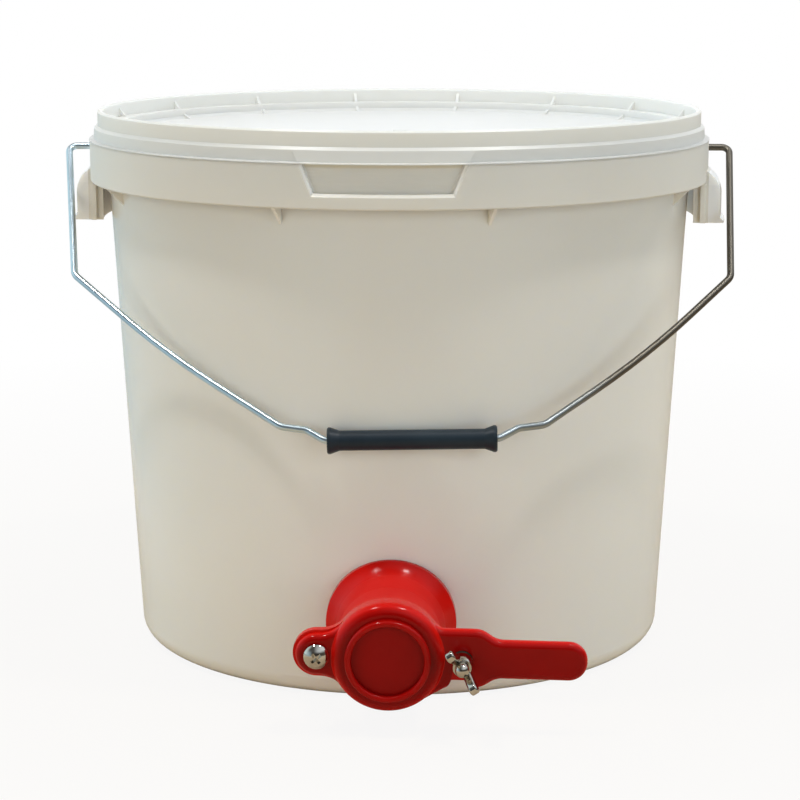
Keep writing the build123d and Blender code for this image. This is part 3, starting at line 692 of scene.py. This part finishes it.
def pail_material():
    """Natural plastic: cloudy cream with a lined recess.

    Painted shade darkens the wall towards the top and more at the collar, painted light pales the ears, and
    the recess has a painted highlight on its slanted sides and a painted shadow along its top.
    """
    looks = bpy.context.scene.pail_finish
    material, tree, shader, place = start_material("Pail plastic")
    drift = place_effect(
        tree, "Colour drift", place, First=looks.pail_colour, Second=looks.pail_shade, Scale=5.0, Streaks=0.5
    )
    marks = place_effect(tree, "Handling marks", place, Level=0.17, Smears=0.05, Scratches=0.0)
    grain = place_effect(tree, "Moulded grain", place, Size=looks.grain_size, Depth=0.000008, Waves=0.0003)
    x, y, z = split(tree, place)
    radius = radius_of(tree, x, y)
    back, sides, strip = recess_masks(tree, x, y, z, radius)
    lines = calc(tree, "SINE", calc(tree, "MULTIPLY", z, 2.0 * math.pi / RECESS_LINES))
    lined = calc(tree, "MULTIPLY", calc(tree, "MULTIPLY", lines, back), RECESS_LINE_HEIGHT)
    height = calc(tree, "ADD", grain.outputs["Height"], lined)
    # Painted shade: the wall darkens towards the collar colour going up, and more at the collar, whose mask
    # also adds satin roughness
    wall_shade = calc(tree, "MULTIPLY", ramp(tree, z, *WALL_SHADE_HEIGHTS), 0.55)
    collar = calc(tree, "MULTIPLY", ramp(tree, z, *COLLAR_SHADE_HEIGHTS), 0.45)
    toned = mixed_colour(tree, calc(tree, "ADD", wall_shade, collar), drift.outputs["Color"], looks.collar_painted_shade)
    # Painted light: beyond the ear radius the colour turns paler
    toned = mixed_colour(tree, calc(tree, "GREATER_THAN", radius, EAR_RADIUS), toned, looks.ear_painted_light)
    # Painted highlight on the recess's slanted sides
    toned = mixed_colour(tree, calc(tree, "MULTIPLY", sides, 0.8), toned, looks.recess_edge_highlight)
    # Painted shadow: tan strip along the top of the recess, under the lid's lip
    toned = mixed_colour(tree, calc(tree, "MULTIPLY", strip, 0.6), toned, looks.recess_strip_shadow)
    rough = calc(tree, "ADD", marks.outputs["Roughness"], calc(tree, "MULTIPLY", collar, 0.45))
    finish_surface(tree, shader, toned, rough, height)
    shader.inputs["Subsurface Weight"].default_value = 0.35
    shader.inputs["Subsurface Radius"].default_value = (1.0, 0.8, 0.55)
    shader.inputs["Subsurface Scale"].default_value = 0.012
    shader.inputs["IOR"].default_value = 1.5
    return material


def lid_material():
    """Whiter plastic with faint rings from its mould and painted shade on its outer skirt."""
    looks = bpy.context.scene.pail_finish
    material, tree, shader, place = start_material("Lid plastic")
    drift = place_effect(
        tree, "Colour drift", place, First=looks.lid_colour, Second=looks.lid_shade, Scale=6.0, Streaks=0.2
    )
    marks = place_effect(tree, "Handling marks", place, Level=0.34, Smears=0.08, Scratches=0.02)
    grain = place_effect(tree, "Moulded grain", place, Size=looks.grain_size, Depth=0.000012, Waves=0.0003)
    x, y, _ = split(tree, place)
    radius = radius_of(tree, x, y)
    turned = calc(tree, "SINE", calc(tree, "MULTIPLY", radius, 2.0 * math.pi / LID_RINGS))
    height = calc(tree, "ADD", grain.outputs["Height"], calc(tree, "MULTIPLY", turned, LID_RING_HEIGHT))
    # Painted shade: beyond the skirt radii the lid's colour turns darker
    toned = mixed_colour(tree, ramp(tree, radius, *SKIRT_RADII), drift.outputs["Color"], looks.skirt_painted_shade)
    finish_surface(tree, shader, toned, marks.outputs["Roughness"], height)
    shader.inputs["Subsurface Weight"].default_value = 0.35
    shader.inputs["Subsurface Radius"].default_value = (1.0, 0.9, 0.75)
    shader.inputs["Subsurface Scale"].default_value = 0.010
    return material


def gate_material(name, red, rim):
    """Red moulding: glossy, neck satin, painted highlight along thin rims, matt inside the shutter's ring.
    """
    material, tree, shader, place = start_material(name)
    deeper = tuple(part * 0.86 for part in red)
    drift = place_effect(tree, "Colour drift", place, First=red, Second=deeper, Scale=42.0, Streaks=0.3)
    marks = place_effect(tree, "Handling marks", place, Level=0.15, Smears=0.06, Scratches=0.04)
    grain = place_effect(tree, "Moulded grain", place, Size=0.0011, Depth=0.000008, Waves=0.00008)
    x, y, z = split(tree, gate_coordinates(tree, place))
    radius = radius_of(tree, x, y)
    inside = calc(tree, "LESS_THAN", radius, RING_FLOOR_RADIUS)
    matt = calc(tree, "MULTIPLY", inside, calc(tree, "GREATER_THAN", z, RING_FLOOR_LOW))
    disc = calc(tree, "LESS_THAN", radius, DISC_RADIUS)
    face = calc(tree, "ADD", calc(tree, "MULTIPLY", disc, DISC_RISE), ARM_FACE)
    # Painted highlight: thin rims below the faces and the top of the bead turn to the lighter rim red
    sunk = ramp(tree, calc(tree, "SUBTRACT", face, z), *RIM_HIGHLIGHT_DEPTHS)
    raised = calc(tree, "MULTIPLY", ramp(tree, z, *BEAD_HIGHLIGHT_HEIGHTS), 0.25)
    rims = mixed_colour(tree, calc(tree, "MAXIMUM", sunk, raised), drift.outputs["Color"], rim)
    neck = between(tree, z, *NECK_REACH, soft=4.0 * MM)
    satin = calc(tree, "ADD", calc(tree, "MULTIPLY", matt, 0.22), calc(tree, "MULTIPLY", neck, 0.38))
    rough = calc(tree, "ADD", marks.outputs["Roughness"], satin)
    stipple = add_node(tree, "ShaderNodeTexNoise", Scale=1500.0, Detail=2.0)
    feed(tree, place, stipple.inputs["Vector"])
    pitted = calc(tree, "MULTIPLY", calc(tree, "MULTIPLY", stipple.outputs["Fac"], matt), STIPPLE_HEIGHT)
    height = calc(tree, "ADD", grain.outputs["Height"], pitted)
    finish_surface(tree, shader, rims, rough, height)
    shader.inputs["IOR"].default_value = 1.5
    shader.inputs["Specular IOR Level"].default_value = 0.16
    return material


def body_material():
    """Red of the gate's body and ring nut."""
    looks = bpy.context.scene.gate_finish
    return gate_material("Gate plastic", looks.body_red, looks.body_red)


def shutter_material():
    """Painted shade as a deeper red on the shutter's faces, with the body's red as painted highlight on its
    rims.
    """
    looks = bpy.context.scene.gate_finish
    return gate_material("Shutter plastic", looks.shutter_shaded_red, looks.body_red)


def rubber_material():
    """Matt black ring with a dusty bloom."""
    looks = bpy.context.scene.gate_finish
    material, tree, shader, place = start_material("Gasket rubber")
    dusty = tuple(min(1.0, part * 2.2) for part in looks.rubber)
    drift = place_effect(
        tree, "Colour drift", place, First=looks.rubber, Second=dusty, Scale=60.0, Streaks=0.0
    )
    marks = place_effect(tree, "Handling marks", place, Level=0.72, Smears=0.2, Scratches=0.0)
    grain = place_effect(tree, "Moulded grain", place, Size=0.0006, Depth=0.00003, Waves=0.0)
    finish_surface(tree, shader, drift.outputs["Color"], marks.outputs["Roughness"], grain.outputs["Height"])
    return material


def zinc_material():
    """Plated drawn wire: pale blue with rougher patches, and a painted dark reflection along its right half.
    """
    looks = bpy.context.scene.metal_finish
    material, tree, shader, place = start_material("Zinc wire")
    drift = place_effect(
        tree, "Colour drift", place, First=looks.zinc, Second=looks.zinc_shade, Scale=70.0, Streaks=0.6
    )
    marks = place_effect(tree, "Handling marks", place, Level=0.30, Smears=0.10, Scratches=0.02)
    grain = place_effect(tree, "Moulded grain", place, Size=0.0012, Depth=0.000001, Waves=0.0)
    x, _, _ = split(tree, place)
    # Painted reflection: the right half turns to a dark colour and gets rougher
    painted_dark = ramp(tree, x, *DARK_REFLECTION_SIDE)
    toned = mixed_colour(tree, painted_dark, drift.outputs["Color"], looks.zinc_dark_reflection)
    rough = calc(tree, "ADD", marks.outputs["Roughness"], calc(tree, "MULTIPLY", painted_dark, 0.15))
    finish_surface(tree, shader, toned, rough, grain.outputs["Height"])
    shader.inputs["Metallic"].default_value = 1.0
    return material


def plated_material(name, first, second, level):
    """Plated steel between two colours, with handling marks over a level of roughness."""
    material, tree, shader, place = start_material(name)
    drift = place_effect(tree, "Colour drift", place, First=first, Second=second, Scale=160.0, Streaks=0.2)
    marks = place_effect(tree, "Handling marks", place, Level=level, Smears=0.10, Scratches=0.08)
    grain = place_effect(tree, "Moulded grain", place, Size=0.0009, Depth=0.000003, Waves=0.0)
    finish_surface(tree, shader, drift.outputs["Color"], marks.outputs["Roughness"], grain.outputs["Height"])
    shader.inputs["Metallic"].default_value = 1.0
    return material


def steel_material():
    """Bright plating of the screws and nuts."""
    looks = bpy.context.scene.metal_finish
    return plated_material("Bright steel", looks.steel, looks.steel_shade, level=0.09)


def washer_material():
    """Washers made near black as painted shadow round the hubs."""
    looks = bpy.context.scene.metal_finish
    # Painted shadow: the washers' colours are a dark fraction of the steel shade
    painted_dark = tuple(part * 0.30 for part in looks.steel_shade)
    dark = tuple(part * 0.12 for part in looks.steel_shade)
    return plated_material("Painted shadow steel", painted_dark, dark, level=0.45)


def grip_material():
    """Black satin plastic, rubbed paler in places."""
    looks = bpy.context.scene.metal_finish
    material, tree, shader, place = start_material("Grip plastic")
    drift = place_effect(
        tree, "Colour drift", place, First=looks.grip, Second=looks.grip_dust, Scale=30.0, Streaks=0.4
    )
    marks = place_effect(tree, "Handling marks", place, Level=0.42, Smears=0.2, Scratches=0.15)
    grain = place_effect(tree, "Moulded grain", place, Size=0.0008, Depth=0.00003, Waves=0.0)
    finish_surface(tree, shader, drift.outputs["Color"], marks.outputs["Roughness"], grain.outputs["Height"])
    shader.inputs["Specular IOR Level"].default_value = 0.3
    return material


def material_named(name, maker):
    """A finish by its name, made when it is first asked for."""
    return bpy.data.materials.get(name) or maker()


def dress(node_names, material):
    """Gives CAD nodes a finish."""
    for name in node_names:
        mesh = NODES[name].data
        mesh.materials.clear()
        mesh.materials.append(material)


def deselect_all():
    """Leaves object mode with nothing selected."""
    if bpy.context.mode != "OBJECT":
        bpy.ops.object.mode_set(mode="OBJECT")
    bpy.ops.object.select_all(action="DESELECT")


def gate_matrix():
    """Turns and moves a piece made about Z onto the gate's axis."""
    seat = Euler((math.radians(90.0 + GATE_LEAN), 0.0, 0.0)).to_matrix().to_4x4()
    roll = Euler((0.0, 0.0, math.radians(GATE_ROLL))).to_matrix().to_4x4()
    seat.translation = GATE_ORIGIN
    return seat @ roll


def settle(piece, body, material, smooth_angle):
    """Smooths a finished piece, gives it its finish and lets it ride on a body."""
    deselect_all()
    piece.select_set(True)
    bpy.context.view_layer.objects.active = piece
    bpy.ops.object.transform_apply(location=True, rotation=True, scale=True)
    bpy.ops.object.shade_smooth_by_angle(angle=smooth_angle)
    piece.data.materials.clear()
    piece.data.materials.append(material)
    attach(piece, body)


def thread(name, radius, crest, pitch, low, high, x):
    """A thread's ridge round a screw on the gate, from one height to another along the gate's axis."""
    deselect_all()
    bpy.ops.mesh.primitive_circle_add(
        vertices=4,
        radius=1.0,
        fill_type="NOTHING",
        location=(radius, 0.0, 0.0),
        rotation=(math.pi / 2, 0.0, 0.0),
    )
    piece = bpy.context.object
    piece.name = name
    piece.data.name = name
    piece.scale = (crest, pitch * RIDGE_SHARE, 1.0)
    bpy.ops.object.transform_apply(location=True, rotation=True, scale=True)
    turns = (high - low - pitch) / pitch
    screw = piece.modifiers.new("Turns", "SCREW")
    screw.axis = "Z"
    screw.angle = 2.0 * math.pi * turns
    screw.screw_offset = pitch * turns
    screw.steps = max(LEAST_FACETS, round(TURN_FACETS * turns))
    screw.render_steps = screw.steps
    bpy.ops.object.modifier_apply(modifier=screw.name)
    bpy.ops.object.mode_set(mode="EDIT")
    bpy.ops.mesh.select_all(action="SELECT")
    bpy.ops.mesh.fill_holes(sides=4)
    bpy.ops.mesh.normals_make_consistent(inside=False)
    bpy.ops.object.mode_set(mode="OBJECT")
    piece.matrix_world = gate_matrix()
    piece.location = gate_matrix() @ Vector((x, 0.0, low + pitch / 2))
    return piece


def mould_pip(name, face_z, facing, radius, height):
    """A round mark with a sunk ring on the pail's axis, standing out of a flat face up or down."""
    rim, ring = radius * 0.35, radius * 0.4
    sink, rise = height * 0.5, height * 0.4
    soft, seat = height * 0.25, height * 0.45
    deselect_all()
    bpy.ops.mesh.primitive_cylinder_add(vertices=48, radius=radius, depth=height, location=(0.0, 0.0, 0.0))
    piece = bpy.context.object
    piece.name = name
    piece.data.name = name
    bpy.ops.object.mode_set(mode="EDIT")
    bpy.ops.mesh.select_mode(type="FACE")
    bpy.ops.mesh.select_all(action="DESELECT")
    bpy.ops.object.mode_set(mode="OBJECT")
    for face in piece.data.polygons:
        face.select = face.normal.z > 0.9
    bpy.ops.object.mode_set(mode="EDIT")
    bpy.ops.mesh.inset(thickness=rim)
    bpy.ops.transform.translate(value=(0.0, 0.0, -sink))
    bpy.ops.mesh.inset(thickness=ring)
    bpy.ops.transform.translate(value=(0.0, 0.0, rise))
    bpy.ops.object.mode_set(mode="OBJECT")
    bevel = piece.modifiers.new("Soft edges", "BEVEL")
    bevel.width = soft
    bevel.segments = 2
    bevel.limit_method = "ANGLE"
    bpy.ops.object.modifier_apply(modifier=bevel.name)
    piece.rotation_euler = (0.0 if facing > 0 else math.pi, 0.0, 0.0)
    piece.location = (0.0, 0.0, face_z + facing * seat)
    return piece


class FinishPail(bpy.types.Operator):
    """Gives the pail and its lid their natural plastic"""

    bl_idname = "pail.finish_pail"
    bl_label = "Finish pail and lid"

    def execute(self, context):
        dress(["pail"], material_named("Pail plastic", pail_material))
        dress(["lid"], material_named("Lid plastic", lid_material))
        return {"FINISHED"}


class FinishBail(bpy.types.Operator):
    """Gives the bail its plated wire and its black grip"""

    bl_idname = "pail.finish_bail"
    bl_label = "Finish bail and grip"

    def execute(self, context):
        dress(["bail_wire"], material_named("Zinc wire", zinc_material))
        dress(["bail_grip"], material_named("Grip plastic", grip_material))
        return {"FINISHED"}


class FinishGate(bpy.types.Operator):
    """Gives the gate its red plastic and its rubber ring"""

    bl_idname = "pail.finish_gate"
    bl_label = "Finish gate"

    def execute(self, context):
        dress(["gate_body", "gate_nut"], material_named("Gate plastic", body_material))
        dress(["gate_shutter"], material_named("Shutter plastic", shutter_material))
        dress(["gate_gasket"], material_named("Gasket rubber", rubber_material))
        return {"FINISHED"}


class FinishScrews(bpy.types.Operator):
    """Gives the screws and nuts their bright plating and the washers a near-black painted shadow"""

    bl_idname = "pail.finish_screws"
    bl_label = "Finish screws"

    def execute(self, context):
        bright = material_named("Bright steel", steel_material)
        dress(["pivot_screw", "pivot_nut", "wing_bolt", "wing_nut"], bright)
        # The washers' near-black finish is painted shadow
        dress(["pivot_washer", "wing_washer"], material_named("Painted shadow steel", washer_material))
        return {"FINISHED"}


class AddThreads(bpy.types.Operator):
    """Adds the threads of the two screws and of the gate's spigot"""

    bl_idname = "pail.add_threads"
    bl_label = "Add threads"

    def execute(self, context):
        sizes = context.scene.thread_sizes
        steel = material_named("Bright steel", steel_material)
        red = material_named("Gate plastic", body_material)
        tail = thread(
            "pivot_screw_thread", sizes.screw_radius, sizes.screw_crest, sizes.screw_pitch,
            PIVOT_TAIL, PLATE_BACK, PIVOT_X,
        )
        settle(tail, "pail", steel, THREAD_SMOOTHING)
        bolt = thread(
            "wing_bolt_thread", sizes.screw_radius, sizes.screw_crest, sizes.screw_pitch,
            SHUTTER_BACK, BOLT_END, STUD_X,
        )
        settle(bolt, "pail", steel, THREAD_SMOOTHING)
        low = SPIGOT_END - sizes.spigot_pitch * SPIGOT_RUN_OUT
        high = RING_NUT_BACK + sizes.spigot_pitch * SPIGOT_RUN_IN
        spigot = thread(
            "spigot_thread", sizes.spigot_radius, sizes.spigot_crest, sizes.spigot_pitch, low, high, 0.0
        )
        settle(spigot, "pail", red, THREAD_SMOOTHING)
        return {"FINISHED"}


class AddMouldMarks(bpy.types.Operator):
    """Adds the marks under the base and on the lid where the plastic entered the moulds"""

    bl_idname = "pail.add_mould_marks"
    bl_label = "Add mould marks"

    def execute(self, context):
        sizes = context.scene.thread_sizes
        base = mould_pip("base_pip", BASE_FACE, -1, sizes.pip_radius, sizes.pip_height)
        settle(base, "pail", material_named("Pail plastic", pail_material), MARK_SMOOTHING)
        lid = mould_pip("lid_pip", LID_PANEL, 1, sizes.pip_radius, sizes.pip_height)
        settle(lid, "lid", material_named("Lid plastic", lid_material), MARK_SMOOTHING)
        return {"FINISHED"}


def area_lamp(name, place, target, size, power, colour):
    """A rectangular soft lamp that faces a point."""
    deselect_all()
    bpy.ops.object.light_add(type="AREA", location=place)
    lamp = bpy.context.object
    lamp.name = name
    lamp.rotation_euler = (Vector(target) - Vector(place)).to_track_quat("-Z", "Y").to_euler()
    lamp.data.shape = "RECTANGLE"
    lamp.data.size, lamp.data.size_y = size
    lamp.data.energy = power
    lamp.data.color = colour
    return lamp


def floor_material():
    """Warm floor, white to the camera, cool in reflections on the left, slightly greyer near the pail."""
    studio = bpy.context.scene.studio
    pane = (0.46, 0.57, 0.60)
    material, tree, shader, place = start_material("Studio floor")
    cloud = add_node(tree, "ShaderNodeTexNoise", Scale=3.0, Detail=3.0)
    feed(tree, place, cloud.inputs["Vector"])
    clouded = mixed_colour(tree, cloud.outputs["Fac"], studio.floor_colour, studio.floor_pale)
    feed(tree, clouded, shader.inputs["Base Color"])
    shader.inputs["Roughness"].default_value = 0.7
    white = add_node(tree, "ShaderNodeEmission", Strength=1.0)
    path = tree.nodes.new("ShaderNodeLightPath")
    x, y, _ = split(tree, place)
    far = add_node(tree, "ShaderNodeMapRange", From_Min=0.2, From_Max=0.9, To_Min=0.9, To_Max=1.0)
    feed(tree, radius_of(tree, x, y), far.inputs["Value"])
    window = calc(tree, "MULTIPLY", path.outputs["Is Glossy Ray"], ramp(tree, x, -0.2, -0.4))
    feed(tree, mixed_colour(tree, window, WHITE, pane), white.inputs["Color"])
    shown = calc(tree, "MAXIMUM", path.outputs["Is Camera Ray"], window)
    seen = calc(tree, "MULTIPLY", shown, far.outputs["Result"])
    mix = tree.nodes.new("ShaderNodeMixShader")
    feed(tree, seen, mix.inputs["Fac"])
    feed(tree, shader.outputs["BSDF"], mix.inputs[1])
    feed(tree, white.outputs["Emission"], mix.inputs[2])
    feed(tree, mix.outputs["Shader"], tree.nodes["Material Output"].inputs["Surface"])
    return material


def set_world():
    """White behind the pail, a cool window side on the left, a brown room on the right and a dim front.

    The bounds of its regions are parts of a unit direction: x to the right, y to the back and z up.
    """
    front, back = (0.05, 0.045, 0.04), (0.80, 0.82, 0.84)
    left, right = (0.48, 0.65, 0.76), (0.11, 0.10, 0.085)
    high_front, high_back = (0.20, 0.20, 0.20), (0.85, 0.87, 0.90)
    high_left, high_right = (0.10, 0.10, 0.10), (0.85, 0.92, 1.0)
    pane = (0.76, 0.95, 1.0)
    world = bpy.data.worlds.new("Studio")
    bpy.context.scene.world = world
    world.use_nodes = True
    tree = world.node_tree
    background = tree.nodes["Background"]
    place = tree.nodes.new("ShaderNodeTexCoord")
    x, y, z = split(tree, place.outputs["Generated"])
    behind = ramp(tree, y, -0.35, 0.45)
    room = mixed_colour(tree, behind, front, back)
    sides = mixed_colour(tree, ramp(tree, x, -0.5, 0.5), left, right)
    beside = ramp(tree, calc(tree, "ABSOLUTE", x), 0.5, 0.9)
    around = mixed_colour(tree, beside, room, sides)
    above = mixed_colour(tree, ramp(tree, y, -0.45, 0.35), high_front, high_back)
    colour = mixed_colour(tree, ramp(tree, z, 0.35, 0.9), around, above)
    path = tree.nodes.new("ShaderNodeLightPath")
    lean = mixed_colour(tree, ramp(tree, x, -0.3, 0.4), high_left, high_right)
    high = calc(tree, "MULTIPLY", path.outputs["Is Glossy Ray"], ramp(tree, z, 0.3, 0.6))
    colour = mixed_colour(tree, high, colour, lean)
    window = calc(tree, "MULTIPLY", ramp(tree, x, -0.4, -0.7), ramp(tree, y, -0.35, 0.0))
    bright = calc(tree, "MAXIMUM", window, ramp(tree, y, 0.55, 0.85))
    glossy = calc(tree, "MULTIPLY", path.outputs["Is Glossy Ray"], bright)
    through = calc(tree, "MAXIMUM", glossy, path.outputs["Is Transmission Ray"])
    shown = calc(tree, "MAXIMUM", path.outputs["Is Camera Ray"], through)
    tinted = calc(tree, "MULTIPLY", path.outputs["Is Glossy Ray"], window)
    backdrop = mixed_colour(tree, tinted, WHITE, pane)
    feed(tree, mixed_colour(tree, shown, colour, backdrop), background.inputs["Color"])
    background.inputs["Strength"].default_value = 1.0


class SetStage(bpy.types.Operator):
    """Sets the floor, the lamps, the room's light and the camera"""

    bl_idname = "pail.set_stage"
    bl_label = "Set stage"

    def execute(self, context):
        studio = context.scene.studio
        deselect_all()
        bpy.ops.mesh.primitive_plane_add(size=studio.floor_size, location=(0.0, 0.0, 0.0))
        floor = context.object
        floor.name = "floor"
        floor.data.materials.append(floor_material())
        for name, place, size, power, share, colour, reflected in LAMPS:
            lamp = area_lamp(name, place, PAIL_MIDDLE, size, share * getattr(studio, power), colour)
            lamp.visible_glossy = reflected
        set_world()
        turn = studio.camera_turn
        place = (
            studio.camera_distance * math.sin(turn),
            -studio.camera_distance * math.cos(turn),
            studio.camera_height,
        )
        deselect_all()
        bpy.ops.object.camera_add(location=place, rotation=(math.pi / 2 - studio.camera_pitch, 0.0, turn))
        camera = context.object
        camera.name = "camera"
        camera.data.sensor_width = SENSOR_WIDTH
        camera.data.lens = studio.lens
        camera.data.shift_x = PHOTO_SHIFT / PHOTO_WIDTH
        camera.data.clip_start = 0.01
        camera.data.clip_end = 100.0
        context.scene.camera = camera
        context.scene.view_settings.view_transform = "Standard"
        return {"FINISHED"}


class PailPanel(bpy.types.Panel):
    """Lists the steps that dress the pail"""

    bl_idname = "PAIL_PT_steps"
    bl_label = "Honey settling pail"
    bl_space_type = "VIEW_3D"
    bl_region_type = "UI"
    bl_category = "Pail"

    def draw(self, context):
        for step in STEPS:
            self.layout.operator(step.bl_idname)
        for group in SETTINGS:
            settings = getattr(context.scene, group)
            box = self.layout.box()
            for key in settings.__annotations__:
                box.prop(settings, key)


SETTINGS = {
    "pail_finish": PailFinish,
    "gate_finish": GateFinish,
    "metal_finish": MetalFinish,
    "thread_sizes": ThreadSizes,
    "studio": StudioSettings,
}
STEPS = [FinishPail, FinishBail, FinishGate, FinishScrews, AddThreads, AddMouldMarks, SetStage]


def register():
    for group in SETTINGS.values():
        bpy.utils.register_class(group)
    for name, group in SETTINGS.items():
        setattr(bpy.types.Scene, name, bpy.props.PointerProperty(type=group))
    for step in STEPS:
        bpy.utils.register_class(step)
    bpy.utils.register_class(PailPanel)


def unregister():
    bpy.utils.unregister_class(PailPanel)
    for step in reversed(STEPS):
        bpy.utils.unregister_class(step)
    for name, group in reversed(SETTINGS.items()):
        delattr(bpy.types.Scene, name)
        bpy.utils.unregister_class(group)


def main():
    """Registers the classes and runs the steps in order."""
    register()
    bpy.ops.pail.finish_pail()
    bpy.ops.pail.finish_bail()
    bpy.ops.pail.finish_gate()
    bpy.ops.pail.finish_screws()
    bpy.ops.pail.add_threads()
    bpy.ops.pail.add_mould_marks()
    bpy.ops.pail.set_stage()
    deselect_all()


if __name__ == "__main__":
    main()
